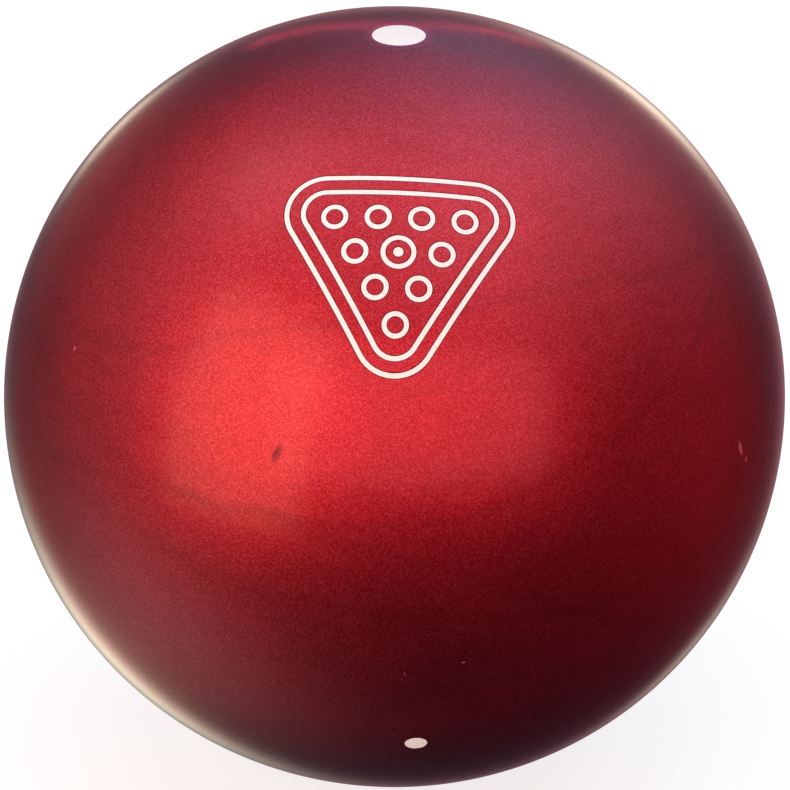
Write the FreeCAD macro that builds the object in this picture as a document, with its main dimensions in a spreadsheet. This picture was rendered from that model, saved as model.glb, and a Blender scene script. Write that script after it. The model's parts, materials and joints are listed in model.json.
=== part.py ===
"""Undrilled ten-pin bowling ball, built the way the real ball is cast.

A dense weight block hangs from a resin pin. A filler ball, the outer core, is cast round the block,
and a urethane coverstock is cast round the filler. The pin is cut flush with the finished ball, where
it shows as a round white face. A second, short white plug marks the ball lower down. An emblem is
engraved in the coverstock and filled with white paint, which sits a little below the surface.

Frame, in millimetres: the origin is the ball's centre, +Z goes through the pin's face, and the emblem
is on the -Y side. The weight block and its pin lean a few degrees about the pin's face, towards the
emblem, which puts the centre of gravity under the emblem's middle ring.
"""

import FreeCAD
import Part
import Sketcher

import math
import os

SHEET = "Dimensions"

# alias, value, what it is. Lengths are in millimetres and angles in degrees.
DIMENSIONS = (
    ("ball_diameter", 218.2, "outside diameter, just under the rules' 218.3"),
    ("cover_thickness", 22.0, "urethane coverstock, surface to filler ball"),
    ("cut_overshoot", 5.0, "how far every cutter runs past the surface"),
    ("core_lean", 3.2, "lean of the weight block and pin about the pin's face"),
    ("bulb_drop", 108.1, "pin's face to the centre of the weight block's bulb, along the pin"),
    ("bulb_radius", 53.0, "weight block's bulb"),
    ("base_depth", 45.0, "bulb's centre to the block's flat base"),
    ("base_edge_radius", 5.0, "rounding of the base's edge"),
    ("waist_radius", 14.0, "hollow curve between bulb and head"),
    ("head_radius", 30.0, "block's head"),
    ("head_height", 67.0, "bulb's centre to the head's flat top"),
    ("shoulder_radius", 8.0, "rounding of the head's top edge"),
    ("pin_diameter", 14.5, "resin pin that holds the block in the mould"),
    ("pin_socket_depth", 10.0, "how deep the pin sits in the block's head"),
    ("locator_diameter", 6.0, "small white plug"),
    ("locator_depth", 9.0, "depth of the plug's hole"),
    ("locator_latitude", -31.4, "plug, above the ball's equator"),
    ("locator_azimuth", 3.8, "plug, from -Y towards +X"),
    ("emblem_latitude", 46.65, "emblem's centre, above the ball's equator"),
    ("emblem_turn", 2.0, "emblem, clockwise as it is read"),
    ("engraving_depth", 0.6, "engraved lines, below the surface"),
    ("infill_recess", 0.1, "top of the paint, below the surface"),
    ("line_width", 1.25, "every engraved line"),
    ("frame_corner_distance", 22.0, "emblem's centre to the centre of each frame corner"),
    ("frame_corner_radius", 10.8, "outer line's corners, on their outside"),
    ("frame_line_gap", 3.0, "inside of the outer line to outside of the inner line"),
    ("rack_pitch", 11.2, "between neighbouring rings of the rack"),
    ("rack_ring_radius", 3.5, "each ring of the rack, outside"),
    ("middle_ring_radius", 4.6, "middle ring, over the centre of gravity, outside"),
    ("middle_dot_radius", 1.3, "dot inside the middle ring"),
)

BALL_RADIUS = f"{SHEET}.ball_diameter / 2"
FILLER_RADIUS = f"({BALL_RADIUS} - {SHEET}.cover_thickness)"

# The rack's rows, from the row of four to the head pin: rings in the row, rows above the middle.
RACK_ROWS = ((4, 1), (3, 0), (2, -1), (1, -2))
ROW_HEIGHT = 3**0.5 / 2

# Directions of the frame's corners from the emblem's centre, and half of each corner's turn, in degrees.
CORNER_DIRECTIONS = (30, 150, 270)
HALF_CORNER_TURN = 60

# An edge this close to a plane is in it, and one shorter than a real edge is a seam. In millimetres.
IN_PLANE = 0.01
SHORTEST_EDGE = 1

# Sketcher's names for the origin, the two axes and the points of an edge.
ORIGIN = (-1, 1)
VERTICAL_AXIS = -2
HORIZONTAL_AXIS = -1
START, END, CENTRE = 1, 2, 3

UP = FreeCAD.Vector(0, 0, 1)


def value(name):
    """A dimension as the plain number that its cell holds."""
    return next(number for alias, number, _ in DIMENSIONS if alias == name)


def vector(x, y):
    return FreeCAD.Vector(x, y, 0)


def polar(distance, degrees):
    """A point of a sketch's plane, given by its distance and direction from the origin."""
    return FreeCAD.Rotation(UP, degrees).multVec(FreeCAD.Vector(distance, 0, 0))


def make_sheet(doc):
    sheet = doc.addObject("Spreadsheet::Sheet", SHEET)
    for row, (alias, number, meaning) in enumerate(DIMENSIONS, start=1):
        sheet.set(f"A{row}", alias)
        sheet.set(f"B{row}", str(number))
        sheet.set(f"C{row}", meaning)
        sheet.setAlias(f"B{row}", alias)
    doc.recompute()


def core_line(depth):
    """Placement, as an expression, at a depth below the pin's face along the leaning line of the core."""
    lean = f"{SHEET}.core_lean"
    base = f"vector(0; -({depth}) * sin({lean}); {BALL_RADIUS} - ({depth}) * cos({lean}))"
    return f"placement({base}; rotation(vector(1; 0; 0); -{lean}))"


def radial(latitude, azimuth, turn, distance):
    """Placement, as an expression, on a line out of the ball's centre, with its Z outwards and Y up."""
    pointing = f"rotation(vector(0; 0; 1); {azimuth}) * rotation(vector(1; 0; 0); 90 - {latitude})"
    turned = f"placement(vector(0; 0; 0); {pointing} * rotation(vector(0; 0; 1); {turn}))"
    return f"{turned} * placement(vector(0; 0; {distance}); rotation(vector(0; 0; 1); 0))"


def emblem_placement():
    return radial(f"{SHEET}.emblem_latitude", "0", f"-{SHEET}.emblem_turn", "0")


# Sketch helpers


def drive(sketch, constraint, name, expression):
    """Adds a constraint whose size follows an expression of the sheet."""
    index = sketch.addConstraint(constraint)
    sketch.renameConstraint(index, name)
    sketch.setExpression(f"Constraints.{name}", expression)


def add_line(sketch, start, end, construction=False):
    return sketch.addGeometry(Part.LineSegment(start, end), construction)


def add_circle(sketch, centre, radius):
    return sketch.addGeometry(Part.Circle(centre, UP, radius), False)


def add_arc(sketch, centre, radius, first, last):
    """An arc from one direction to another, counter-clockwise, in degrees."""
    circle = Part.Circle(centre, UP, radius)
    return sketch.addGeometry(Part.ArcOfCircle(circle, math.radians(first), math.radians(last)), False)


def join(sketch, first, first_point, second, second_point, kind="Coincident"):
    sketch.addConstraint(Sketcher.Constraint(kind, first, first_point, second, second_point))


def place_point(sketch, geometry, point, name, across, up):
    """Holds a point at a distance from each axis. Each distance is (expression, rough signed size)."""
    for kind, axis, (expression, rough) in (
        ("DistanceX", VERTICAL_AXIS, across),
        ("DistanceY", HORIZONTAL_AXIS, up),
    ):
        if rough == 0:
            sketch.addConstraint(Sketcher.Constraint("PointOnObject", geometry, point, axis))
            continue
        ends = (*ORIGIN, geometry, point) if rough > 0 else (geometry, point, *ORIGIN)
        constraint = Sketcher.Constraint(kind, *ends, abs(rough))
        drive(sketch, constraint, f"{name}_{kind[-1].lower()}", expression)


def plane_of(body, role):
    return next(item for item in body.Origin.OriginFeatures if item.Role == role)


def sketch_in(body, name, role):
    sketch = body.newObject("Sketcher::SketchObject", name)
    sketch.AttachmentSupport = [(plane_of(body, role), "")]
    sketch.MapMode = "FlatFace"
    return sketch


def revolve(body, sketch, name):
    feature = body.newObject("PartDesign::Revolution", name)
    feature.Profile = sketch
    feature.ReferenceAxis = (sketch, ["V_Axis"])
    feature.Angle = 360
    return feature


# Plain solids and booleans


def ball(doc, name, radius):
    """A ball round the origin. Its radius is an expression."""
    sphere = doc.addObject("Part::Sphere", name)
    sphere.setExpression("Radius", radius)
    return sphere


def rod(doc, name, radius, height, placement):
    """A cylinder that starts at a placement. Every size is an expression."""
    cylinder = doc.addObject("Part::Cylinder", name)
    cylinder.setExpression("Radius", radius)
    cylinder.setExpression("Height", height)
    cylinder.setExpression("Placement", placement)
    return cylinder


def cut(doc, name, base, tool):
    feature = doc.addObject("Part::Cut", name)
    feature.Base = base
    feature.Tool = tool
    return feature


def common(doc, name, first, second):
    feature = doc.addObject("Part::Common", name)
    feature.Base = first
    feature.Tool = second
    return feature


def group(doc, name, shapes):
    """Several shapes handled as one, as the tool of a cut."""
    feature = doc.addObject("Part::Compound", name)
    feature.Links = shapes
    return feature


# The core


def block_profile(body):
    """Half of the weight block's outline: flat base, bulb, hollow waist, straight head, shoulder."""
    sketch = sketch_in(body, "block_profile", "XZ_Plane")
    bulb, base, head = value("bulb_radius"), value("base_depth"), value("head_radius")
    waist, top, shoulder = value("waist_radius"), value("head_height"), value("shoulder_radius")
    base_corner = math.sqrt(bulb**2 - base**2)
    waist_height = math.sqrt((bulb + waist) ** 2 - (head + waist) ** 2)
    tangent_angle = math.degrees(math.atan2(waist_height, head + waist))
    base_angle = math.degrees(math.atan2(base, base_corner))

    floor_line = add_line(sketch, vector(0, -base), vector(base_corner, -base))
    bulb_arc = add_arc(sketch, vector(0, 0), bulb, -base_angle, tangent_angle)
    waist_arc = add_arc(sketch, vector(head + waist, waist_height), waist, 180, 180 + tangent_angle)
    side = add_line(sketch, vector(head, waist_height), vector(head, top - shoulder))
    shoulder_arc = add_arc(sketch, vector(head - shoulder, top - shoulder), shoulder, 0, 90)
    lid = add_line(sketch, vector(head - shoulder, top), vector(0, top))
    axis = add_line(sketch, vector(0, top), vector(0, -base))

    sketch.addConstraint(Sketcher.Constraint("Horizontal", floor_line))
    sketch.addConstraint(Sketcher.Constraint("Vertical", side))
    sketch.addConstraint(Sketcher.Constraint("Horizontal", lid))
    sketch.addConstraint(Sketcher.Constraint("PointOnObject", floor_line, START, VERTICAL_AXIS))
    sketch.addConstraint(Sketcher.Constraint("PointOnObject", lid, END, VERTICAL_AXIS))
    join(sketch, bulb_arc, CENTRE, *ORIGIN)
    join(sketch, floor_line, END, bulb_arc, START)
    join(sketch, bulb_arc, END, waist_arc, END, "Tangent")
    join(sketch, waist_arc, START, side, START, "Tangent")
    join(sketch, side, END, shoulder_arc, START, "Tangent")
    join(sketch, shoulder_arc, END, lid, START, "Tangent")
    join(sketch, lid, END, axis, START)
    join(sketch, axis, END, floor_line, START)

    for name, constraint in (
        ("bulb_radius", Sketcher.Constraint("Radius", bulb_arc, bulb)),
        ("waist_radius", Sketcher.Constraint("Radius", waist_arc, waist)),
        ("shoulder_radius", Sketcher.Constraint("Radius", shoulder_arc, shoulder)),
        ("base_depth", Sketcher.Constraint("DistanceY", floor_line, START, *ORIGIN, base)),
        ("head_height", Sketcher.Constraint("DistanceY", *ORIGIN, lid, END, top)),
        ("head_radius", Sketcher.Constraint("DistanceX", *ORIGIN, side, END, head)),
    ):
        drive(sketch, constraint, name, f"{SHEET}.{name}")
    return sketch


def make_weight_block(doc):
    """Dense casting, turned about the core's line, with a blind socket in its head for the pin."""
    body = doc.addObject("PartDesign::Body", "weight_block")
    revolve(body, block_profile(body), "block_turned")
    doc.recompute()

    rounding = body.newObject("PartDesign::Fillet", "base_edge_rounding")
    turned = body.getObject("block_turned")
    rounding.Base = (turned, [base_edge(turned.Shape)])
    rounding.setExpression("Radius", f"{SHEET}.base_edge_radius")
    doc.recompute()

    mouth = sketch_in(body, "socket_mouth", "XY_Plane")
    mouth.setExpression("AttachmentOffset.Base.z", f"{SHEET}.head_height")
    circle = add_circle(mouth, vector(0, 0), value("pin_diameter") / 2)
    join(mouth, circle, CENTRE, *ORIGIN)
    size = Sketcher.Constraint("Diameter", circle, value("pin_diameter"))
    drive(mouth, size, "pin_diameter", f"{SHEET}.pin_diameter")
    socket = body.newObject("PartDesign::Pocket", "pin_socket")
    socket.Profile = mouth
    socket.setExpression("Length", f"{SHEET}.pin_socket_depth")

    body.setExpression("Placement", core_line(f"{SHEET}.bulb_drop"))
    return body


def base_edge(shape):
    """Name of the round edge where the block's flat base meets its bulb."""
    for number, edge in enumerate(shape.Edges, start=1):
        box = edge.BoundBox
        at_base = abs(box.ZMax + value("base_depth")) < IN_PLANE
        if at_base and box.ZLength < IN_PLANE and box.XLength > SHORTEST_EDGE:
            return f"Edge{number}"
    raise RuntimeError("the weight block has no base edge")


def make_core_rod(doc):
    """The pin as cast: from the bottom of its socket to past the ball's surface."""
    depth = f"({SHEET}.bulb_drop - {SHEET}.head_height + {SHEET}.pin_socket_depth)"
    length = f"{depth} + {SHEET}.cut_overshoot"
    return rod(doc, "pin_as_cast", f"{SHEET}.pin_diameter / 2", length, core_line(depth))


def make_locator_rod(doc):
    """The small plug as cast: from the bottom of its hole to past the ball's surface."""
    floor_distance = f"({BALL_RADIUS} - {SHEET}.locator_depth)"
    placement = radial(f"{SHEET}.locator_latitude", f"{SHEET}.locator_azimuth", "0", floor_distance)
    length = f"{SHEET}.locator_depth + {SHEET}.cut_overshoot"
    return rod(doc, "locator_as_cast", f"{SHEET}.locator_diameter / 2", length, placement)


# The emblem: two nested rounded triangles round a ten-pin rack drawn as rings


def rounded_triangle(sketch, spokes, name, radius, rough):
    """A closed outline of three lines and three equal arcs, whose centres are the ends of the spokes."""
    arcs = []
    for spoke, direction in zip(spokes, CORNER_DIRECTIONS):
        centre = polar(value("frame_corner_distance"), direction)
        arc = add_arc(sketch, centre, rough, direction - HALF_CORNER_TURN, direction + HALF_CORNER_TURN)
        join(sketch, arc, CENTRE, spoke, END)
        arcs.append(arc)
    drive(sketch, Sketcher.Constraint("Radius", arcs[0], rough), name, radius)
    for arc in arcs[1:]:
        sketch.addConstraint(Sketcher.Constraint("Equal", arcs[0], arc))
    for number, arc in enumerate(arcs):
        following = arcs[(number + 1) % len(arcs)]
        leaving = sketch.Geometry[arc].EndPoint
        arriving = sketch.Geometry[following].StartPoint
        line = add_line(sketch, leaving, arriving)
        join(sketch, arc, END, line, START, "Tangent")
        join(sketch, line, END, following, START, "Tangent")


def frame_line_sketch(doc, name, inset, rough_inset):
    """One line of the frame: a rounded triangle and, a line's width inside it, a smaller one."""
    sketch = doc.addObject("Sketcher::SketchObject", name)
    spokes = []
    for number, direction in enumerate(CORNER_DIRECTIONS):
        spoke = add_line(sketch, vector(0, 0), polar(value("frame_corner_distance"), direction), True)
        join(sketch, spoke, START, *ORIGIN)
        angle = math.radians(direction)
        sketch.addConstraint(Sketcher.Constraint("Angle", HORIZONTAL_AXIS, START, spoke, START, angle))
        length = Sketcher.Constraint("Distance", spoke, value("frame_corner_distance"))
        drive(sketch, length, f"spoke_{number}", f"{SHEET}.frame_corner_distance")
        spokes.append(spoke)
    outside = f"{SHEET}.frame_corner_radius - {inset}"
    rough = value("frame_corner_radius") - rough_inset
    rounded_triangle(sketch, spokes, "outside", outside, rough)
    inside = f"{outside} - {SHEET}.line_width"
    rounded_triangle(sketch, spokes, "inside", inside, rough - value("line_width"))
    sketch.setExpression("Placement", emblem_placement())
    return sketch


def outer_line_sketch(doc):
    return frame_line_sketch(doc, "outer_line_sketch", "0", 0)


def inner_line_sketch(doc):
    inset = f"({SHEET}.line_width + {SHEET}.frame_line_gap)"
    rough_inset = value("line_width") + value("frame_line_gap")
    return frame_line_sketch(doc, "inner_line_sketch", inset, rough_inset)


def add_ring(sketch, name, radius, rough, across, up):
    """An engraved ring: two concentric circles a line's width apart."""
    centre = vector(across[1], up[1])
    outside = add_circle(sketch, centre, rough)
    inside = add_circle(sketch, centre, rough - value("line_width"))
    place_point(sketch, outside, CENTRE, name, across, up)
    join(sketch, inside, CENTRE, outside, CENTRE)
    size = Sketcher.Constraint("Radius", outside, rough)
    drive(sketch, size, f"{name}_outside", radius)
    size = Sketcher.Constraint("Radius", inside, rough - value("line_width"))
    drive(sketch, size, f"{name}_inside", f"{radius} - {SHEET}.line_width")


def rack_sketch(doc):
    """Nine rings of the rack, on a triangular grid. The tenth place has a larger ring of its own."""
    sketch = doc.addObject("Sketcher::SketchObject", "rack_sketch")
    for rings, row in RACK_ROWS:
        for place in range(rings):
            columns = place - (rings - 1) / 2
            if columns == 0 and row == 0:
                continue
            rows = row * ROW_HEIGHT
            across = (f"{abs(columns)} * {SHEET}.rack_pitch", columns * value("rack_pitch"))
            up = (f"{abs(rows):.9f} * {SHEET}.rack_pitch", rows * value("rack_pitch"))
            name = f"ring_{rings}_{place}"
            add_ring(sketch, name, f"{SHEET}.rack_ring_radius", value("rack_ring_radius"), across, up)
    sketch.setExpression("Placement", emblem_placement())
    return sketch


def middle_ring_sketch(doc):
    """The ring in the middle of the rack, over the centre of gravity."""
    sketch = doc.addObject("Sketcher::SketchObject", "middle_ring_sketch")
    middle = ("0", 0)
    add_ring(sketch, "ring", f"{SHEET}.middle_ring_radius", value("middle_ring_radius"), middle, middle)
    sketch.setExpression("Placement", emblem_placement())
    return sketch


def punch(doc, sketch):
    """The sketch pushed straight out from the ball's centre plane to past its surface."""
    feature = doc.addObject("Part::Extrusion", sketch.Name.replace("sketch", "punch"))
    feature.Base = sketch
    feature.DirMode = "Normal"
    feature.Solid = True
    feature.setExpression("LengthFwd", f"{BALL_RADIUS} + {SHEET}.cut_overshoot")
    return feature


def skin(doc, name, outer, inner):
    """A hollow ball between two radii, which are expressions."""
    return cut(doc, name, ball(doc, f"{name}_outside", outer), ball(doc, f"{name}_inside", inner))


def make_middle_dot(doc):
    """The dot inside the middle ring: the round hole drilled for it, and its paint."""
    engraved = f"({BALL_RADIUS} - {SHEET}.engraving_depth)"
    placement = radial(f"{SHEET}.emblem_latitude", "0", "0", engraved)
    length = f"{SHEET}.engraving_depth + {SHEET}.cut_overshoot"
    hole = rod(doc, "emblem_middle_dot_hole", f"{SHEET}.middle_dot_radius", length, placement)
    paint_level = ball(doc, "dot_paint_level", f"{BALL_RADIUS} - {SHEET}.infill_recess")
    return hole, common(doc, "emblem_middle_dot_infill", hole, paint_level)


def make_emblem(doc):
    """Everything to cut in the coverstock for the emblem, and the paint that fills each cut."""
    engraved = f"{BALL_RADIUS} - {SHEET}.engraving_depth"
    groove_skin = skin(doc, "groove_skin", f"{BALL_RADIUS} + {SHEET}.cut_overshoot", engraved)
    paint_skin = skin(doc, "paint_skin", f"{BALL_RADIUS} - {SHEET}.infill_recess", engraved)
    hole, dot = make_middle_dot(doc)
    grooves, paint = [hole], [dot]
    for name, sketch in (
        ("emblem_outer_line_infill", outer_line_sketch(doc)),
        ("emblem_inner_line_infill", inner_line_sketch(doc)),
        ("emblem_rack_infill", rack_sketch(doc)),
        ("emblem_middle_ring_infill", middle_ring_sketch(doc)),
    ):
        prism = punch(doc, sketch)
        grooves.append(common(doc, name.replace("infill", "groove"), prism, groove_skin))
        paint.append(common(doc, name, prism, paint_skin))
    return grooves, paint


# The three castings round the weight block, and the two white plugs


def make_cover_blank(doc):
    """The coverstock as cast, a closed hollow ball turned from half an annulus."""
    body = doc.addObject("PartDesign::Body", "cover_blank")
    sketch = sketch_in(body, "cover_profile", "XZ_Plane")
    outer = value("ball_diameter") / 2
    inner = outer - value("cover_thickness")
    outer_arc = add_arc(sketch, vector(0, 0), outer, -90, 90)
    inner_arc = add_arc(sketch, vector(0, 0), inner, -90, 90)
    for arc, point, radius in ((outer_arc, "outer", outer), (inner_arc, "inner", inner)):
        join(sketch, arc, CENTRE, *ORIGIN)
        sketch.addConstraint(Sketcher.Constraint("PointOnObject", arc, START, VERTICAL_AXIS))
        sketch.addConstraint(Sketcher.Constraint("PointOnObject", arc, END, VERTICAL_AXIS))
        expression = BALL_RADIUS if point == "outer" else FILLER_RADIUS
        drive(sketch, Sketcher.Constraint("Radius", arc, radius), f"{point}_radius", expression)
    lower = add_line(sketch, vector(0, -outer), vector(0, -inner))
    upper = add_line(sketch, vector(0, inner), vector(0, outer))
    join(sketch, lower, START, outer_arc, START)
    join(sketch, lower, END, inner_arc, START)
    join(sketch, upper, START, inner_arc, END)
    join(sketch, upper, END, outer_arc, END)
    revolve(body, sketch, "cover_turned")
    return body


def build(doc):
    """Every piece of the ball, in the order in which the real ball is made."""
    make_sheet(doc)
    weight_block = make_weight_block(doc)
    core_rod = make_core_rod(doc)
    locator_rod = make_locator_rod(doc)
    grooves, paint = make_emblem(doc)

    core = doc.addObject("Part::Fuse", "block_and_pin")
    core.Base = weight_block
    core.Tool = core_rod
    outer_core = cut(doc, "outer_core", ball(doc, "filler_ball", FILLER_RADIUS), core)
    openings = group(doc, "cover_openings", [core_rod, locator_rod, *grooves])
    coverstock = cut(doc, "coverstock", make_cover_blank(doc), openings)
    core_pin = common(doc, "core_pin", core_rod, ball(doc, "pin_trim", BALL_RADIUS))
    locator_plug = common(doc, "locator_plug", locator_rod, ball(doc, "locator_trim", BALL_RADIUS))
    doc.recompute()
    return [weight_block, outer_core, coverstock, core_pin, locator_plug, *paint]


def check(doc, pieces):
    """Stops if any feature failed, or if a piece is not made of valid closed solids."""
    for item in doc.Objects:
        if {"Invalid", "Error"} & set(item.State):
            raise RuntimeError(f"{item.Name} failed: {item.State}")
    for piece in pieces:
        shape = piece.Shape
        if shape.isNull() or not shape.isValid() or not shape.Solids:
            raise RuntimeError(f"{piece.Label} has no valid solid")


def main():
    doc = FreeCAD.newDocument("bowling_ball")
    pieces = build(doc)
    check(doc, pieces)
    os.makedirs("parts", exist_ok=True)
    for piece in pieces:
        piece.Shape.exportStep(f"parts/{piece.Label}.step")
        print(f"{piece.Label}: {len(piece.Shape.Solids)} solids, {piece.Shape.Volume / 1000:.3f} cm3")


main()
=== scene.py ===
"""Looks of the undrilled ten-pin bowling ball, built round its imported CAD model.

The coverstock is one closed skin: a fine triangulated ball whose edges follow the engraved lines, with
rounded lips, groove walls and floors, the bores of the pin and the small plug, and the inside of the
shell. The paint, the pin and the plug are solids of their own that fill those cuts. Lengths are in
metres, and the frame is the CAD model's: the ball's centre, +Z through the pin, the emblem towards -Y.
"""

import json
import math

import bpy
import numpy as np
from mathutils import Matrix, Vector
from mathutils.geometry import delaunay_2d_cdt


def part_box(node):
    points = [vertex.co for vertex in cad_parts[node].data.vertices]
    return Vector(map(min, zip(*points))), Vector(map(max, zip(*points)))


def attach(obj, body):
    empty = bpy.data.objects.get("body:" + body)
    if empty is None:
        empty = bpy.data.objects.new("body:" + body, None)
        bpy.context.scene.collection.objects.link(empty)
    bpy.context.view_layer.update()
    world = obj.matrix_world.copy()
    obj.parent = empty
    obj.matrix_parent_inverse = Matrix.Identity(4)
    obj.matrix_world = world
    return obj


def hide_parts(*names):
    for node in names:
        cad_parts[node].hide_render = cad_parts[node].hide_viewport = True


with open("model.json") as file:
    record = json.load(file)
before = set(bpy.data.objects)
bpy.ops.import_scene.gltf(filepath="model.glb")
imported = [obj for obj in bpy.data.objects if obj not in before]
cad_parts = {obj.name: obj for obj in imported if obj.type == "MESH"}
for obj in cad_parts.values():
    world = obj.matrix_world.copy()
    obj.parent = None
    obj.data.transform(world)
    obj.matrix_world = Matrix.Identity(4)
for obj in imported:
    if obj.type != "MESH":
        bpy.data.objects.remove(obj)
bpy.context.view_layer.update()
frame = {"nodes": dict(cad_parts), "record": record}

MM = 0.001

# The ball and what is cut in it. The same values drive the CAD model.
BALL_RADIUS = -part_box("coverstock")[0].z
FILLER_RADIUS = BALL_RADIUS - 22 * MM
CORE_LEAN = math.radians(3.2)
PIN_RADIUS = 7.25 * MM
PLUG_RADIUS = 3 * MM
PLUG_DEPTH = 9 * MM
EMBLEM_TURN = math.radians(2)
GROOVE_DEPTH = 0.6 * MM
LINE_WIDTH = 1.25 * MM
FRAME_CORNER_DISTANCE = 22 * MM
OUTER_LINE_RADIUS = 10.8 * MM
INNER_LINE_RADIUS = OUTER_LINE_RADIUS - LINE_WIDTH - 3 * MM
RACK_PITCH = 11.2 * MM
RACK_RING_RADIUS = 3.5 * MM
MIDDLE_RING_RADIUS = 4.6 * MM
MIDDLE_DOT_RADIUS = 1.3 * MM

# Edges of the cuts, and the paint's surface. Depths are below the ball's surface. The lip rounds the
# engraved lines, and the seam rounds the edges of the pin, the plug and their holes.
LIP = 0.35 * MM
LIP_STEPS = 4
PAINT_EDGE_DEPTH = 0.09 * MM
PAINT_MIDDLE_DEPTH = 0.13 * MM
PAINT_SLOPE_WIDTH = 0.2 * MM
SEAM = 0.08 * MM

# Light scuffs on the coverstock: azimuth, elevation and turn in degrees, half length and half width.
SCUFFS = (
    (58.5, 7.3, 15, 2.8 * MM, 1.0 * MM),
    (60.0, 5.0, -20, 1.1 * MM, 0.8 * MM),
    (9.8, -13.2, -60, 0.6 * MM, 0.3 * MM),
    (1.5, -15.0, 10, 0.9 * MM, 0.15 * MM),
    (-57.4, 22.0, 0, 0.8 * MM, 0.4 * MM),
    (140.0, -8.0, 50, 3.0 * MM, 0.3 * MM),
    (-150.0, 20.0, -35, 2.4 * MM, 0.3 * MM),
)

# Darker lines on the coverstock: the axis that a line runs round, its height on that axis
# and its width.
DARK_LINES = (
    ((-0.12, -0.4, 1.0), 56.5 * MM, 2.0 * MM),
    ((0.1, -0.2, 1.0), 12 * MM, 3.0 * MM),
    ((-0.15, 0.3, 1.0), 38 * MM, 2.5 * MM),
    ((0.3, 0.5, 1.0), -40 * MM, 3.0 * MM),
)
SWIRL_STRETCH = (1.0, 1.0, 3.5)

# How far the painted highlight round the white pin reaches: the urethane there is painted lighter.
PIN_HIGHLIGHT_REACH = 3 * MM

# Fineness of the meshes. The face rings are shares of the radius of the pin's and the plug's face.
OUTLINE_STEP = 0.4 * MM
FEWEST_RING_POINTS = 24
SKIN_POINTS = 30000
CLEAR_OF_CUTS = 0.6 * MM
INSIDE_RINGS = 48
FACE_RINGS = (0.85, 0.65, 0.45, 0.25, 0.1)

# Edges are shaded as round up to this angle, and points this close to the ball's surface count as on it.
SMOOTH_ANGLE = math.radians(40)
ON_SURFACE = 0.0001 * MM

# Small dents in the coverstock: azimuth from -Y towards +X, elevation, turn from upright, all in degrees,
# then half length, half width and depth. Their painted shade, a darker red, reaches further than their half
# length.
DENTS = (
    (-17.2, 17.7, -17, 1.9 * MM, 0.7 * MM, 0.13 * MM),
    (0.1, -27.3, 70, 0.8 * MM, 0.4 * MM, 0.07 * MM),
    (118.0, 12.0, 70, 1.8 * MM, 0.45 * MM, 0.1 * MM),
    (171.0, 38.0, 20, 1.3 * MM, 0.5 * MM, 0.08 * MM),
)
DENT_SHADE_REACH = 1.8
DENT_POINT_STEP = 0.22 * MM

# How far a dent's fine points reach and how far the coarse ones are cleared away for them, in half widths
# across and half lengths along. The dent ends where it has faded to a share of its depth.
DENT_POINTS_REACH = (3.0, 2.2)
DENT_CLEARED_REACH = (3.4, 2.5)
DENT_FADED = 0.01


# Places on the ball


def towards(azimuth, elevation):
    """Unit vector at an azimuth from -Y towards +X and an elevation, in degrees."""
    a, e = math.radians(azimuth), math.radians(elevation)
    return Vector((math.sin(a) * math.cos(e), -math.cos(a) * math.cos(e), math.sin(e)))


class Spot:
    """A place where the ball is drilled or engraved: a plane across an axis that points out of the ball."""

    def __init__(self, through, out, turn=0.0):
        self.through = np.array(through, float)
        self.out = np.array(Vector(out).normalized(), float)
        towards_top = np.array((0, 0, 1.0)) - self.out[2] * self.out
        at_the_top = np.linalg.norm(towards_top) < 0.1
        if at_the_top:
            towards_top = np.array((0, 1.0, 0)) - self.out[1] * self.out
        up = Vector(towards_top).normalized()
        up.rotate(Matrix.Rotation(turn, 3, Vector(self.out)))
        self.up = np.array(up, float)
        self.right = np.cross(self.up, self.out)

    def at_radius(self, plane, radius):
        """Points straight above the plane's points, at a distance from the ball's centre."""
        start = self.at_height(plane, 0.0)
        along = start @ self.out
        rise = -along + np.sqrt(along**2 - (start**2).sum(1) + radius**2)
        return start + rise[:, None] * self.out

    def at_height(self, plane, height):
        """Points straight above the plane's points, at a height over the plane."""
        return self.through + plane[:, :1] * self.right + plane[:, 1:] * self.up + height * self.out

    def plane_of(self, points):
        """Where points fall on the plane, and whether they are on this side of the ball."""
        away = points - self.through
        plane = np.stack((away @ self.right, away @ self.up), 1)
        return plane, points @ self.out > 0


def record_mount(name):
    return next(mount for mount in frame["record"]["mounts"] if mount["name"] == name)


def box_middle(node):
    low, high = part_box(node)
    return (low + high) / 2


EMBLEM = Spot((0, 0, 0), record_mount("grip_centre")["axis"], -EMBLEM_TURN)
PIN = Spot((0, 0, BALL_RADIUS), (0, math.sin(CORE_LEAN), math.cos(CORE_LEAN)))
PLUG = Spot((0, 0, 0), box_middle("locator_plug"))


# Outlines in a spot's plane


def polar(distance, angles):
    return np.stack((distance * np.cos(angles), distance * np.sin(angles)), 1)


class Ring:
    """Circles about one centre. The nominal radius settles how many points they have."""

    def __init__(self, centre, nominal_radius):
        self.centre = np.array(centre, float)
        self.count = max(FEWEST_RING_POINTS, round(math.tau * nominal_radius / OUTLINE_STEP))

    def distance(self, plane):
        return np.linalg.norm(plane - self.centre, axis=1)

    def outline(self, radius):
        return self.centre + polar(radius, np.arange(self.count) * math.tau / self.count)


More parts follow.
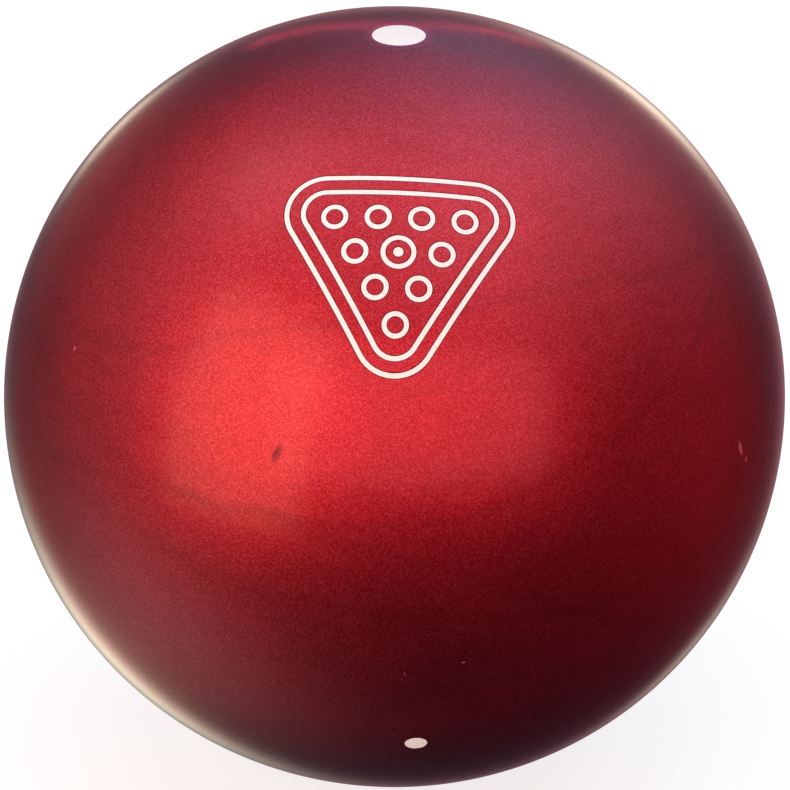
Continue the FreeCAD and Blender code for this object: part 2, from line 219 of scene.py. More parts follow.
class RoundedTriangle:
    """Outlines at a distance from a triangle that points down, so that their corners are round."""

    def __init__(self, corner_distance, nominal_radius):
        self.directions = np.radians((30, 150, 270))
        self.corners = polar(corner_distance, self.directions)
        side = math.sqrt(3) * corner_distance
        self.arc_count = round(math.tau / 3 * nominal_radius / OUTLINE_STEP)
        self.side_count = round(side / OUTLINE_STEP)

    def distance(self, plane):
        found = np.full(len(plane), np.inf)
        inside = np.ones(len(plane), bool)
        for start, end in zip(self.corners, np.roll(self.corners, -1, 0)):
            edge = end - start
            away = plane - start
            share = np.clip(away @ edge / (edge @ edge), 0, 1)
            found = np.minimum(found, np.linalg.norm(away - share[:, None] * edge, axis=1))
            inside &= edge[0] * away[:, 1] - edge[1] * away[:, 0] > 0
        return np.where(inside, 0.0, found)

    def outline(self, radius):
        arcs = []
        for direction, corner in zip(self.directions, self.corners):
            angles = direction + np.linspace(-math.pi / 3, math.pi / 3, self.arc_count)
            arcs.append(corner + polar(radius, angles))
        points = []
        for arc, following in zip(arcs, [*arcs[1:], arcs[0]]):
            shares = np.linspace(0, 1, self.side_count + 1)[1:-1, None]
            points += [arc, arc[-1] + shares * (following[0] - arc[-1])]
        return np.concatenate(points)


def rack_centres():
    """The nine rings of a ten-pin rack round its middle place, with the head pin at the bottom."""
    places = []
    for rings, row in ((4, 1), (3, 0), (2, -1), (1, -2)):
        for place in range(rings):
            column = place - (rings - 1) / 2
            if (column, row) != (0, 0):
                places.append((column * RACK_PITCH, row * RACK_PITCH * math.sqrt(3) / 2))
    return places


# The painted grooves of each CAD node, as (shape, outer radius). A groove is one line wide.
FRAME_SHAPE = RoundedTriangle(FRAME_CORNER_DISTANCE, OUTER_LINE_RADIUS)
INNER_FRAME_SHAPE = RoundedTriangle(FRAME_CORNER_DISTANCE, INNER_LINE_RADIUS)
PAINTED = {
    "emblem_outer_line_infill": [(FRAME_SHAPE, OUTER_LINE_RADIUS)],
    "emblem_inner_line_infill": [(INNER_FRAME_SHAPE, INNER_LINE_RADIUS)],
    "emblem_rack_infill": [
        (Ring(centre, RACK_RING_RADIUS), RACK_RING_RADIUS) for centre in rack_centres()
    ],
    "emblem_middle_ring_infill": [(Ring((0, 0), MIDDLE_RING_RADIUS), MIDDLE_RING_RADIUS)],
}
DOT = Ring((0, 0), MIDDLE_DOT_RADIUS)
PIN_RING = Ring((0, 0), PIN_RADIUS)
PLUG_RING = Ring((0, 0), PLUG_RADIUS)


# Meshes


class Skin:
    """Points and faces of one mesh. Loops run anticlockwise as seen from outside the ball."""

    def __init__(self):
        self.points = []
        self.faces = []

    def loop(self, points):
        """Adds points and returns their numbers."""
        first = len(self.points)
        self.points.extend(points)
        return list(range(first, len(self.points)))

    def band(self, first, second):
        """Quads between two loops. They face up where the second loop lies inside the first."""
        for a, b, c, d in zip(first, first[1:] + first[:1], second[1:] + second[:1], second):
            self.faces.append((a, b, c, d))

    def bands(self, loops):
        for first, second in zip(loops, loops[1:]):
            self.band(first, second)

    def cap(self, loop, centre):
        """Triangles from a loop to one point inside it."""
        (middle,) = self.loop([centre])
        for a, b in zip(loop, loop[1:] + loop[:1]):
            self.faces.append((a, b, middle))

    def piece(self, name, material):
        """The finished object. Points on the ball's surface take the ball's own normal."""
        mesh = bpy.data.meshes.new(name)
        points = np.array(self.points, float)
        mesh.from_pydata(points.tolist(), [], self.faces)
        mesh.validate()
        mesh.set_sharp_from_angle(angle=SMOOTH_ANGLE)
        radii = np.linalg.norm(points, axis=1)
        on_ball = np.abs(radii - BALL_RADIUS) < ON_SURFACE
        normals = np.where(on_ball[:, None], points / radii.clip(ON_SURFACE)[:, None], 0.0)
        corners = np.empty(len(mesh.loops), np.int32)
        mesh.loops.foreach_get("vertex_index", corners)
        mesh.normals_split_custom_set(normals[corners].tolist())
        mesh.materials.append(material)
        made = bpy.data.objects.new(name, mesh)
        bpy.context.scene.collection.objects.link(made)
        return made


def lip_profile(radius, sign, size):
    """Rounded edge from the ball's surface down to a wall, as (radius, depth) pairs, surface first.

    The sign is 1 where the surface lies outside the wall and -1 where it lies inside.
    """
    turns = [step * math.pi / 2 / LIP_STEPS for step in range(LIP_STEPS + 1)]
    return [(radius + sign * size * (1 - math.sin(t)), size * (1 - math.cos(t))) for t in turns]


def surface_loops(skin, spot, shape, profile):
    """One loop for each (radius, depth) of a profile."""
    return [skin.loop(spot.at_radius(shape.outline(r), BALL_RADIUS - depth)) for r, depth in profile]


def engrave_line(skin, shape, outer):
    """A groove between two outlines. Returns its two loops on the ball's surface."""
    inner = outer - LINE_WIDTH
    down = [*lip_profile(outer, 1, LIP), (outer, GROOVE_DEPTH)]
    back_up = [(inner, GROOVE_DEPTH), *reversed(lip_profile(inner, -1, LIP))]
    loops = surface_loops(skin, EMBLEM, shape, down + back_up)
    skin.bands(loops)
    return [loops[0], loops[-1]]


def drill(skin, spot, ring, radius, lip, floor_radius):
    """A round blind hole, down to a distance from the ball's centre. Returns its loop on the surface."""
    depth = BALL_RADIUS - floor_radius
    loops = surface_loops(skin, spot, ring, [*lip_profile(radius, 1, lip), (radius, depth)])
    skin.bands(loops)
    skin.cap(loops[-1], spot.at_radius(ring.centre[None], floor_radius)[0])
    return loops[0]


def bore_and_inside(skin):
    """The pin's bore through the shell, and the shell's inside, from the bore round to its far side."""
    depth = BALL_RADIUS - FILLER_RADIUS
    profile = [*lip_profile(PIN_RADIUS, 1, SEAM), (PIN_RADIUS, depth)]
    loops = surface_loops(skin, PIN, PIN_RING, profile)
    mouth = np.array([skin.points[number] for number in loops[-1]])
    around = np.arctan2(mouth[:, 1], mouth[:, 0])
    tilt = np.arccos(mouth[:, 2] / FILLER_RADIUS)
    for step in range(1, INSIDE_RINGS):
        angle = tilt + (math.pi - tilt) * step / INSIDE_RINGS
        ring = np.stack(
            (np.sin(angle) * np.cos(around), np.sin(angle) * np.sin(around), np.cos(angle)), 1
        )
        loops.append(skin.loop(FILLER_RADIUS * ring))
    skin.bands(loops)
    skin.cap(loops[-1], (0, 0, -FILLER_RADIUS))
    return loops[0]


def cut_away(points):
    """How far points of the ball's surface are outside every cut. Negative inside one."""
    clear = np.full(len(points), np.inf)
    plane, near = EMBLEM.plane_of(points)
    for shape, outer in [mark for marks in PAINTED.values() for mark in marks]:
        distance = shape.distance(plane)
        outside = np.maximum(distance - (outer + LIP), outer - LINE_WIDTH - LIP - distance)
        clear = np.where(near, np.minimum(clear, outside), clear)
    for spot, ring, edge in (
        (EMBLEM, DOT, MIDDLE_DOT_RADIUS + LIP),
        (PIN, PIN_RING, PIN_RADIUS + SEAM),
        (PLUG, PLUG_RING, PLUG_RADIUS + SEAM),
    ):
        plane, near = spot.plane_of(points)
        clear = np.where(near, np.minimum(clear, ring.distance(plane) - edge), clear)
    return clear


def even_points(count):
    """Evenly spaced unit vectors, along a spiral that ends opposite the emblem."""
    number = np.arange(count) + 0.5
    height = 1 - 2 * number / count
    turn = number * math.pi * (3 - math.sqrt(5))
    across = np.sqrt(1 - height**2)
    return (
        (across * np.cos(turn))[:, None] * EMBLEM.right
        + (across * np.sin(turn))[:, None] * EMBLEM.up
        + height[:, None] * EMBLEM.out
    )


def dent_spots():
    """The dents, each as its spot, half length, half width and depth."""
    for azimuth, elevation, turn, length, width, depth in DENTS:
        spot = Spot((0, 0, 0), towards(azimuth, elevation), math.radians(turn))
        yield spot, length, width, depth


def dent_grid(spot, length, width):
    """Extra points over a dent, so that its shape is in the mesh."""
    reach_across, reach_along = DENT_POINTS_REACH
    across = np.arange(-reach_across * width, reach_across * width, DENT_POINT_STEP)
    along = np.arange(-reach_along * length, reach_along * length, DENT_POINT_STEP)
    plane = np.stack(np.meshgrid(across, along), -1).reshape(-1, 2)
    plane[:, 1] += DENT_POINT_STEP / 2 * (np.round(plane[:, 0] / DENT_POINT_STEP) % 2)
    return spot.at_radius(plane, BALL_RADIUS)


def dent_depth(points):
    """How far each point of the ball's surface sinks."""
    sunk = np.zeros(len(points))
    for spot, length, width, depth in dent_spots():
        plane, near = spot.plane_of(points)
        share = np.exp(-((plane[:, 0] / width) ** 2) - (plane[:, 1] / length) ** 2)
        sunk += np.where(near & (share > DENT_FADED), depth * share, 0)
    return sunk


def surface_scatter():
    """Points that fill the ball's surface between the cuts."""
    points = BALL_RADIUS * even_points(SKIN_POINTS)
    clear_across, clear_along = DENT_CLEARED_REACH
    for spot, length, width, _ in dent_spots():
        plane, near = spot.plane_of(points)
        over = near & (np.abs(plane[:, 0]) < clear_across * width)
        over &= np.abs(plane[:, 1]) < clear_along * length
        points = np.concatenate((points[~over], dent_grid(spot, length, width)))
    return points[cut_away(points) > CLEAR_OF_CUTS]


def surface_triangles(points, edges):
    """Delaunay triangles over the ball, projected flat from the place opposite the emblem."""
    unit = points / BALL_RADIUS
    spread = 1 + unit @ EMBLEM.out
    flat = np.stack((unit @ EMBLEM.right / spread, unit @ EMBLEM.up / spread), 1)
    *_, triangles, origins, _, _ = delaunay_2d_cdt([Vector(place) for place in flat], edges, [], 0, 0.0)
    source = np.array([ids[0] for ids in origins])
    return source[np.array(triangles)]


def fill_surface(skin, loops):
    """Triangles over the whole ball except the cuts. Every edge of the loops is an edge of the fill."""
    rims = [number for loop in loops for number in loop]
    numbers = rims + skin.loop(surface_scatter())
    points = np.array([skin.points[number] for number in numbers])
    place = {number: index for index, number in enumerate(rims)}
    edges = [(place[a], place[b]) for loop in loops for a, b in zip(loop, loop[1:] + loop[:1])]
    corners = surface_triangles(points, edges)
    keep = cut_away(points[corners].mean(1)) > 0
    skin.faces += [tuple(numbers[index] for index in corner) for corner in corners[keep]]
    close_far_side(skin, corners, numbers)
    sunk = dent_depth(points)
    for index in np.flatnonzero(sunk):
        skin.points[numbers[index]] = points[index] * (1 - sunk[index] / BALL_RADIUS)


def close_far_side(skin, corners, numbers):
    """Closes the small hole that the flat triangulation leaves opposite the emblem."""
    edges = {(a, b) for corner in corners for a, b in zip(corner, np.roll(corner, -1))}
    following = {a: b for a, b in edges if (b, a) not in edges}
    start = next(iter(following))
    loop = [start]
    while following[loop[-1]] != start:
        loop.append(following[loop[-1]])
    loop = [numbers[index] for index in reversed(loop)]
    skin.cap(loop, -BALL_RADIUS * EMBLEM.out)


def coverstock(material):
    """The hollow ball, bored for the pin and the plug and engraved."""
    skin = Skin()
    loops = [bore_and_inside(skin)]
    loops.append(drill(skin, PLUG, PLUG_RING, PLUG_RADIUS, SEAM, BALL_RADIUS - PLUG_DEPTH))
    loops.append(drill(skin, EMBLEM, DOT, MIDDLE_DOT_RADIUS, LIP, BALL_RADIUS - GROOVE_DEPTH))
    for marks in PAINTED.values():
        for shape, outer in marks:
            loops += engrave_line(skin, shape, outer)
    fill_surface(skin, loops)
    return skin.piece("ball_coverstock", material)


def line_paint(name, marks, material):
    """Paint that fills a groove, hollowed a little between its edges."""
    skin = Skin()
    for shape, outer in marks:
        inner = outer - LINE_WIDTH
        profile = [
            (outer, GROOVE_DEPTH),
            (outer, PAINT_EDGE_DEPTH),
            (outer - PAINT_SLOPE_WIDTH, PAINT_MIDDLE_DEPTH),
            (inner + PAINT_SLOPE_WIDTH, PAINT_MIDDLE_DEPTH),
            (inner, PAINT_EDGE_DEPTH),
            (inner, GROOVE_DEPTH),
        ]
        loops = surface_loops(skin, EMBLEM, shape, profile)
        skin.bands([*loops, loops[0]])
    return skin.piece(name, material)


def round_solid(name, spot, ring, profile, bottom, top, material):
    """A round solid: its bottom, then a profile up its wall and in over its top."""
    skin = Skin()
    base = skin.loop(bottom)
    loops = [base, *surface_loops(skin, spot, ring, profile)]
    skin.bands(loops)
    skin.cap(base[::-1], bottom.mean(0))
    skin.cap(loops[-1], spot.at_radius(ring.centre[None], top)[0])
    return skin.piece(name, material)


def flush_profile(radius):
    """A plug's worn top edge, then rings in towards the middle of its face."""
    edge = list(reversed(lip_profile(radius, -1, SEAM)))
    return edge + [(radius * share, 0) for share in FACE_RINGS]


def pin(material):
    """The resin pin, from its socket in the weight block up to the ball's surface."""
    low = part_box("core_pin")[0].z
    length = (BALL_RADIUS - low - PIN_RADIUS * math.sin(CORE_LEAN)) / math.cos(CORE_LEAN)
    bottom = PIN.at_height(PIN_RING.outline(PIN_RADIUS), -length)
    return round_solid("pin", PIN, PIN_RING, flush_profile(PIN_RADIUS), bottom, BALL_RADIUS, material)


def plug(material):
    """The short plug, as deep as its hole."""
    bottom = PLUG.at_radius(PLUG_RING.outline(PLUG_RADIUS), BALL_RADIUS - PLUG_DEPTH)
    return round_solid("plug", PLUG, PLUG_RING, flush_profile(PLUG_RADIUS), bottom, BALL_RADIUS, material)


def dot_paint(material):
    """Paint that fills the emblem's middle dot."""
    bottom = EMBLEM.at_radius(DOT.outline(MIDDLE_DOT_RADIUS), BALL_RADIUS - GROOVE_DEPTH)
    profile = [
        (MIDDLE_DOT_RADIUS, PAINT_EDGE_DEPTH),
        (MIDDLE_DOT_RADIUS - PAINT_SLOPE_WIDTH, PAINT_MIDDLE_DEPTH),
    ]
    top = BALL_RADIUS - PAINT_MIDDLE_DEPTH
    return round_solid("paint_dot", EMBLEM, DOT, profile, bottom, top, material)


# Materials


class Nodes:
    """A node tree with short ways to add nodes. A socket's value may be another socket."""

    def __init__(self, tree):
        self.tree = tree

    def add(self, kind, inputs=None, **settings):
        node = self.tree.nodes.new("ShaderNode" + kind)
        for name, value in settings.items():
            setattr(node, name, value)
        self.fill(node, inputs or {})
        return node

    def fill(self, node, inputs):
        for name, value in inputs.items():
            if isinstance(value, bpy.types.NodeSocket):
                self.tree.links.new(value, node.inputs[name])
            else:
                node.inputs[name].default_value = value

    def math(self, operation, first, second=0.0):
        return self.add("Math", {0: first, 1: second}, operation=operation).outputs["Value"]

    def vector(self, operation, first, second, result="Vector"):
        return self.add("VectorMath", {0: first, 1: second}, operation=operation).outputs[result]

    def mix(self, share, first, second, blend="MIX"):
        """Mixes colours. A Mix node's colour sockets share their names, so they go by number."""
        inputs = {0: share, 6: first, 7: second}
        return self.add("Mix", inputs, data_type="RGBA", blend_type=blend).outputs[2]


class Paintbox(Nodes):
    """A material with the textures that it is made of."""

    def __init__(self, name):
        self.material = bpy.data.materials.new(name)
        self.material.use_nodes = True
        super().__init__(self.material.node_tree)
        self.shader = self.tree.nodes["Principled BSDF"]
        self.place = self.add("TexCoord").outputs["Object"]

    def noise(self, size, detail=4.0, roughness=0.5, distortion=0.0, at=None):
        """Noise whose blotches are about one size, from 0 to 1."""
        inputs = {"Vector": at or self.place, "Scale": 1 / size, "Detail": detail}
        inputs |= {"Roughness": roughness, "Distortion": distortion}
        return self.add("TexNoise", inputs).outputs["Fac"]

    def cells(self, size):
        """Voronoi cells of one size."""
        return self.add("TexVoronoi", {"Vector": self.place, "Scale": 1 / size})

    def spread(self, value, low, high, to_low=0.0, to_high=1.0):
        """Maps a range to another, clamped."""
        inputs = {"Value": value, "From Min": low, "From Max": high}
        inputs |= {"To Min": to_low, "To Max": to_high}
        return self.add("MapRange", inputs).outputs["Result"]

    def dim(self, tone, share):
        """A colour made darker, or a little lighter where the share is over 1."""
        grey = self.add("CombineColor", {name: share for name in ("Red", "Green", "Blue")})
        return self.mix(1.0, tone, grey.outputs["Color"], "MULTIPLY")

    def mark(self, azimuth, elevation, turn, half_length, half_width):
        """A soft-edged stroke on the ball's surface, from 0 to 1."""
        spot = Spot((0, 0, 0), towards(azimuth, elevation), math.radians(turn))
        place = self.vector("SUBTRACT", self.place, BALL_RADIUS * spot.out)
        across = self.vector("DOT_PRODUCT", place, spot.right / half_width, "Value")
        along = self.vector("DOT_PRODUCT", place, spot.up / half_length, "Value")
        inward = self.vector("DOT_PRODUCT", place, spot.out / half_length, "Value")
        reach = self.add("CombineXYZ", {"X": across, "Y": along, "Z": inward}).outputs["Vector"]
        return self.spread(self.vector("LENGTH", reach, (0, 0, 0), "Value"), 0.5, 1.0, 1.0, 0.0)

    def marks(self, strokes):
        """Several strokes as one mask."""
        found = 0.0
        for stroke in strokes:
            found = self.math("MAXIMUM", found, self.mark(*stroke))
        return found

    def bump(self, height, distance, normal=None):
        """A bump map, over another one if its normal is given."""
        inputs = {"Height": height, "Distance": distance}
        if normal:
            inputs["Normal"] = normal
        return self.add("Bump", inputs).outputs["Normal"]

    def finish(self, **inputs):
        """Sets the shader's inputs, whose names have underscores for spaces, and gives the material."""
        self.fill(self.shader, {name.replace("_", " "): value for name, value in inputs.items()})
        return self.material


def colour(red, green, blue):
    return (red, green, blue, 1.0)


# Colours of the coverstock.
DEEP_RED = colour(0.46, 0.0, 0.006)
FLAKE_RED = colour(0.71, 0.055, 0.082)
# Painted shade of the dents.
DENT_SHADE_RED = colour(0.22, 0.0, 0.015)
# Painted shade of the engraved lines and holes.
GROOVE_SHADE_RED = colour(0.04, 0.001, 0.005)
# Painted highlight round the pin.
PIN_HIGHLIGHT_RED = colour(0.9, 0.08, 0.16)
SCUFF_RED = colour(1.0, 0.20, 0.26)

# Depths between which the coverstock turns to the painted shade of the grooves. The skin's flat triangles
# dip less than this.
GROOVE_SHADE_FROM = 0.016 * MM
GROOVE_SHADE_TO = 0.05 * MM


def dark_lines(box, tone):
    """Darkens the colour along the dark lines, which wander a little."""
    for axis, level, width in DARK_LINES:
        height = box.vector("DOT_PRODUCT", box.place, Vector(axis).normalized(), "Value")
        wander = box.spread(box.noise(40 * MM, detail=2), 0.3, 0.7, -width, width)
        away = box.math("ABSOLUTE", box.math("SUBTRACT", box.math("ADD", height, wander), level))
        tone = box.dim(tone, box.spread(away, 0, width, 0.9, 1.0))
    return tone


def pearl(box, flakes):
    """The pearl's colour: single flakes over deep red, with clouds, streaks and darker lines."""
    clouds = box.noise(55 * MM, detail=5, roughness=0.55, distortion=1.6)
    swirl = box.vector("MULTIPLY", box.place, SWIRL_STRETCH)
    streaks = box.noise(26 * MM, detail=4, distortion=1.8, at=swirl)
    tone = box.mix(box.math("POWER", flakes, 2.0), DEEP_RED, FLAKE_RED)
    tone = box.dim(tone, box.spread(clouds, 0.3, 0.7, 0.95, 1.04))
    tone = box.dim(tone, box.spread(streaks, 0.35, 0.65, 0.95, 1.03))
    return dark_lines(box, tone)


def pin_highlight(box):
    """Painted highlight round the pin: 1 at the pin's edge and 0 where it has faded."""
    from_pin = box.vector("SUBTRACT", box.place, (0, 0, BALL_RADIUS))
    from_pin = box.vector("LENGTH", from_pin, (0, 0, 0), "Value")
    return box.spread(from_pin, PIN_RADIUS, PIN_RADIUS + PIN_HIGHLIGHT_REACH, 1.0, 0.0)


def groove_shade_mask(box, dent_shade):
    """Painted shade of the cuts: 1 in the engraved lines and holes, 0 on the surface and in its dents."""
    from_centre = box.vector("LENGTH", box.place, (0, 0, 0), "Value")
    depth = box.math("SUBTRACT", BALL_RADIUS, from_centre)
    in_cut = box.spread(depth, GROOVE_SHADE_FROM, GROOVE_SHADE_TO)
    return box.spread(box.math("SUBTRACT", in_cut, dent_shade), 0, 1)


def satin(box, scuffs):
    """Roughness of the sanded skin. It looks smoother at a grazing angle and rougher in a scuff."""
    wear = box.spread(box.noise(25 * MM, detail=6, roughness=0.6), 0.3, 0.7, 0.43, 0.49)
    sanding = box.spread(box.noise(0.8 * MM, detail=2), 0, 1, -0.02, 0.02)
    facing = box.add("LayerWeight", {"Blend": 0.5}).outputs["Facing"]
    grazing = box.spread(facing, 0.45, 0.85, 1.0, 0.35)
    roughness = box.math("MULTIPLY", box.math("ADD", wear, sanding), grazing)
    return box.math("ADD", roughness, box.math("MULTIPLY", scuffs, 0.2))


def pearl_urethane():
    """Deep red urethane with a fine pearl flake, clouds and streaks from the pour, and a satin skin, with
    painted shade in its cuts and dents and a painted highlight round the pin.
    """
    box = Paintbox("pearl_urethane")
    flakes = box.add("SeparateColor", {"Color": box.cells(0.25 * MM).outputs["Color"]}).outputs["Red"]
    # Where the dents' painted shade lies.
    dent_shade = box.marks([
        (azimuth, elevation, turn, DENT_SHADE_REACH * length, DENT_SHADE_REACH * width)
        for azimuth, elevation, turn, length, width, _ in DENTS
    ])
    scuffs = box.marks(SCUFFS)
    # Where the cuts' painted shade lies, left out where the dents are.
    groove = groove_shade_mask(box, dent_shade)
    # Dents painted darker red, as shade.
    tone = box.mix(box.math("MULTIPLY", dent_shade, 0.85), pearl(box, flakes), DENT_SHADE_RED)
    # Cuts painted dark, as shade.
    tone = box.mix(groove, tone, GROOVE_SHADE_RED)
    # A highlight painted round the pin.
    tone = box.mix(box.math("MULTIPLY", pin_highlight(box), 0.6), tone, PIN_HIGHLIGHT_RED)
    tone = box.mix(box.math("MULTIPLY", scuffs, 0.8), tone, SCUFF_RED)
    # Less metal where the cuts are painted dark as shade, and a little less in the worn scuffs.
    dull_in_shade_and_scuffs = box.math("MAXIMUM", box.math("MULTIPLY", groove, 0.8), box.math("MULTIPLY", scuffs, 0.3))
    skin = box.bump(box.noise(0.5 * MM, detail=3), 0.0015 * MM)
    return box.finish(
        Base_Color=tone,
        Metallic=box.math("SUBTRACT", 1.0, dull_in_shade_and_scuffs),
        Specular_Tint=colour(0.9, 0.75, 0.7),
        Specular_IOR_Level=0.2,
        Roughness=satin(box, scuffs),
        # No coat where the cuts are painted dark as shade.
        Coat_Weight=box.spread(groove, 0, 1, 0.57, 0),
        Coat_Roughness=0.2,
        Coat_IOR=1.5,
        Normal=box.bump(flakes, 0.003 * MM, skin),
    )


def white_resin():
    """Cast resin of the pin and plug: off-white, sanded flush with the ball, faintly mottled."""
    box = Paintbox("white_resin")
    mottle = box.noise(2.5 * MM, detail=5)
    tone = box.mix(box.spread(mottle, 0.3, 0.7), colour(0.94, 0.89, 0.78), colour(0.99, 0.94, 0.84))
    sanding = box.noise(0.4 * MM, detail=3)
    roughness = box.spread(sanding, 0.2, 0.8, 0.36, 0.5)
    return box.finish(Base_Color=tone, Roughness=roughness, Normal=box.bump(sanding, 0.006 * MM))


def white_paint():
    """Enamel in the engraving: brushed on, wiped level, a little thin and grubby in places."""
    box = Paintbox("white_paint")
    thin = box.noise(1.6 * MM, detail=5, roughness=0.6)
    tone = box.mix(box.spread(thin, 0.5, 0.8, 0, 0.3), colour(0.95, 0.87, 0.80), colour(0.84, 0.66, 0.60))
    brushed = box.noise(0.3 * MM, detail=3)
    roughness = box.spread(brushed, 0.2, 0.8, 0.38, 0.55)
    return box.finish(Base_Color=tone, Roughness=roughness, Normal=box.bump(brushed, 0.01 * MM))


def filler_resin():
    """The filler ball: a tan casting of resin and glass bubbles, matte and speckled."""
    box = Paintbox("filler_resin")
    specks = box.spread(box.cells(1.3 * MM).outputs["Distance"], 0.15, 0.45)
    cloud = box.noise(30 * MM, detail=5)
    tone = box.mix(box.spread(cloud, 0.35, 0.65), colour(0.52, 0.45, 0.32), colour(0.62, 0.56, 0.43))
    tone = box.mix(box.spread(specks, 0, 1, 0.3, 0), tone, colour(0.80, 0.77, 0.70))
    roughness = box.spread(box.noise(4 * MM), 0.3, 0.7, 0.62, 0.82)
    return box.finish(Base_Color=tone, Roughness=roughness, Normal=box.bump(specks, 0.05 * MM))


def block_resin():
    """The weight block: dense blue-grey resin with mineral filler, grainy, with flow marks."""
    box = Paintbox("block_resin")
    grain = box.noise(0.9 * MM, detail=6, roughness=0.7)
    flow = box.noise(22 * MM, detail=4, distortion=2)
    tone = box.mix(box.spread(flow, 0.35, 0.65), colour(0.07, 0.10, 0.19), colour(0.12, 0.17, 0.29))
    tone = box.mix(box.spread(grain, 0.55, 0.75, 0, 0.5), tone, colour(0.34, 0.38, 0.45))
    roughness = box.spread(grain, 0.3, 0.7, 0.5, 0.75)
    return box.finish(Base_Color=tone, Roughness=roughness, Normal=box.bump(grain, 0.08 * MM))


def floor_paint():
    """Pale floor that glows a little, so that it comes out nearly white."""
    box = Paintbox("floor_paint")
    tone = box.mix(box.noise(0.4, detail=3), colour(0.26, 0.25, 0.23), colour(0.28, 0.27, 0.25))
    return box.finish(
        Base_Color=tone, Roughness=0.8, Emission_Color=colour(*BACKDROP), Emission_Strength=FLOOR_GLOW
    )


# The ball


def on_ball(piece, node, slot):
    """The piece moves with the ball and stands for a CAD node, which is hidden. The slot is not used."""
    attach(piece, "root")
    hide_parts(node)


def make_ball():
    """The visible pieces. The filler ball and the weight block stay as the CAD model has them."""
    resin, paint = white_resin(), white_paint()
    on_ball(coverstock(pearl_urethane()), "coverstock", "pearl_urethane")
    on_ball(pin(resin), "core_pin", "white_resin")
    on_ball(plug(resin), "locator_plug", "white_resin")
    on_ball(dot_paint(paint), "emblem_middle_dot_infill", "white_paint")
    for node, marks in PAINTED.items():
        name = node.replace("emblem", "paint").replace("_infill", "")
        on_ball(line_paint(name, marks, paint), node, "white_paint")
    for node, material in (("outer_core", filler_resin()), ("weight_block", block_resin())):
        for slot in frame["nodes"][node].material_slots:
            slot.material = material


# The studio

FLOOR_SIZE = 12.0
FLOOR_GLOW = 0.8

# The camera's place as seen from the ball, its roll, half the view's width at a distance of 1, and how far
# it aims beside the ball's centre.
CAMERA_DISTANCE = 1.2
CAMERA_AZIMUTH = -0.43
CAMERA_ELEVATION = 26.7
CAMERA_ROLL = 0.7
CAMERA_HALF_VIEW = 0.09232
AIM_RIGHT = 0.14 * MM
AIM_UP = 0.45 * MM

# Tints of the studio's light.
WHITE = (1.0, 0.9, 0.95)
CREAM = (0.75, 1.0, 0.78)
AMBER = (1.0, 0.75, 0.5)
ROSE = (1.0, 0.5, 0.5)
PINK = (1.0, 0.15, 0.3)
RED = (1.0, 0.1, 0.1)
SKY = (0.1, 0.6, 1.0)
TEAL = (0.6, 1.0, 0.95)

# The lamps: name, azimuth from -Y towards +X, elevation, turn to the right, width, height, strength, tint.
# Two soft boxes stand in front and a thin lit arch behind.
LAMPS = (
    ("key_left", -45, 15, 0, 1.2, 1.75, 1.75, AMBER),
    ("key_right", 5, 20, 0, 2.6, 1.1, 1.45, ROSE),
    ("arch_left", -173.5, 14.5, 43, 0.02, 0.54, 5, PINK),
    ("arch_right", 173.5, 14.5, -43, 0.02, 0.54, 5, PINK),
)

# More lamps, which light paint and resin but don't show in the ball's mirror image.
FILLS = (
    ("fill_top", 0, 85, 0, 1, 1, 1.3, WHITE),
    ("fill_low", 5, -35, 0, 1, 1, 2.5, WHITE),
)
LAMP_DISTANCE = 1.6

# Soft light from the rest of the studio: name, azimuth, elevation, half angle of the glow, strength, tint.
GLOWS = (
    ("wall_left", -80, 35, 45, 0.65, WHITE),
    ("wall_right", 125, 35, 25, 0.4, WHITE),
    ("ceiling_right", 65, 70, 33, 1.35, WHITE),
    ("ceiling_left", -110, 60, 15, 1.3, WHITE),
    ("ceiling_back", 155, 50, 30, 1.2, SKY),
    ("window", 172, 24, 12, 0.3, SKY),
    ("floor_left", -85, -45, 25, 0.7, TEAL),
    ("floor_right", 95, -10, 30, 0.25, RED),
    ("side_left", -148, 3, 14, 0.3, ROSE),
    ("side_right", 152, 4, 13, 0.22, ROSE),
    ("low_left", -132, -28, 15, 0.15, RED),
    ("low_right", 134, -35, 20, 0.07, RED),
    ("floor_back", 175, -20, 20, 0.4, ROSE),
    ("card_low", -155, -42, 9.5, 1.85, CREAM),
    ("card_edge", -128, -49, 10, 0.25, CREAM),
    ("card_floor", 160, -38, 5, 0.45, CREAM),
    ("card_left", -163.5, -9.5, 4, 1.75, CREAM),
    ("card_right", 165.5, -8.5, 5.5, 2.1, CREAM),
)
AMBIENT = (0.025, 0.03, 0.055)
BACKDROP = (1.0, 1.0, 1.0)


def make_floor():
    """The floor that the ball lies on. Only the camera sees it, so the ball mirrors the studio alone."""
    size = FLOOR_SIZE / 2
    mesh = bpy.data.meshes.new("floor")
    corners = [(-size, -size), (size, -size), (size, size), (-size, size)]
    mesh.from_pydata([(x, y, -BALL_RADIUS) for x, y in corners], [], [(0, 1, 2, 3)])
    mesh.materials.append(floor_paint())
    floor = bpy.data.objects.new("floor", mesh)
    floor.visible_glossy = False
    floor.visible_diffuse = False
    floor.visible_shadow = False
    bpy.context.scene.collection.objects.link(floor)


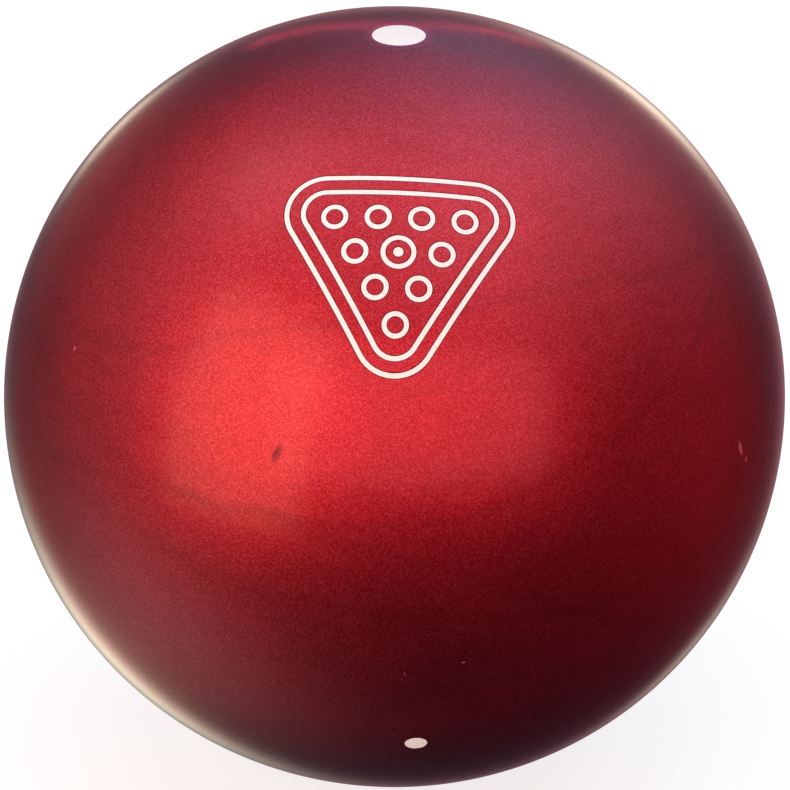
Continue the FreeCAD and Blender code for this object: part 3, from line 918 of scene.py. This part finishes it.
def make_lamps(lamps, mirrored):
    """Area lamps that face the ball. Their strength is their brightness, whatever their size."""
    for name, azimuth, elevation, turn, width, height, strength, tint in lamps:
        light = bpy.data.lights.new(name, "AREA")
        light.shape = "RECTANGLE"
        light.size, light.size_y = width, height
        light.energy = strength * math.pi * width * height
        light.color = tint
        lamp = bpy.data.objects.new(name, light)
        lamp.visible_camera = False
        lamp.visible_glossy = mirrored
        back = towards(azimuth, elevation)
        lamp.location = LAMP_DISTANCE * back
        turned = Matrix.Rotation(math.radians(turn), 3, "Z").to_quaternion()
        lamp.rotation_euler = (back.to_track_quat("Z", "Y") @ turned).to_euler()
        bpy.context.scene.collection.objects.link(lamp)


def make_world():
    """Soft glows in the directions of the studio's bright parts. The camera sees a plain backdrop."""
    world = bpy.data.worlds.new("studio")
    world.use_nodes = True
    box = Nodes(world.node_tree)
    direction = box.add("TexCoord").outputs["Generated"]
    light = box.add("CombineXYZ", dict(zip("XYZ", AMBIENT))).outputs["Vector"]
    for _, azimuth, elevation, half_angle, strength, tint in GLOWS:
        facing = box.vector("DOT_PRODUCT", direction, towards(azimuth, elevation), "Value")
        fall = 1 / (1 - math.cos(math.radians(half_angle)))
        share = box.math("EXPONENT", box.math("MULTIPLY", box.math("SUBTRACT", facing, 1.0), fall))
        shares = box.add("CombineXYZ", {axis: share for axis in "XYZ"}).outputs["Vector"]
        light = box.vector("ADD", light, box.vector("MULTIPLY", shares, strength * Vector(tint)))
    seen = box.add("LightPath").outputs["Is Camera Ray"]
    shown = box.mix(seen, light, colour(*BACKDROP))
    box.fill(world.node_tree.nodes["Background"], {"Color": shown})
    bpy.context.scene.world = world


def make_camera():
    """A camera in front of the ball, looking down at it."""
    camera = bpy.data.cameras.new("camera")
    camera.lens = camera.sensor_width / 2 / CAMERA_HALF_VIEW
    holder = bpy.data.objects.new("camera", camera)
    back = towards(CAMERA_AZIMUTH, CAMERA_ELEVATION)
    roll = Matrix.Rotation(math.radians(CAMERA_ROLL), 3, "Z").to_quaternion()
    turn = back.to_track_quat("Z", "Y") @ roll
    aim = turn @ Vector((AIM_RIGHT, AIM_UP, 0))
    holder.location = CAMERA_DISTANCE * back + aim
    holder.rotation_mode = "QUATERNION"
    holder.rotation_quaternion = turn
    bpy.context.scene.collection.objects.link(holder)
    bpy.context.scene.camera = holder


make_camera()
make_world()
make_floor()
make_lamps(LAMPS, mirrored=True)
make_lamps(FILLS, mirrored=False)
make_ball()

bpy.context.scene.view_settings.view_transform = "Standard"
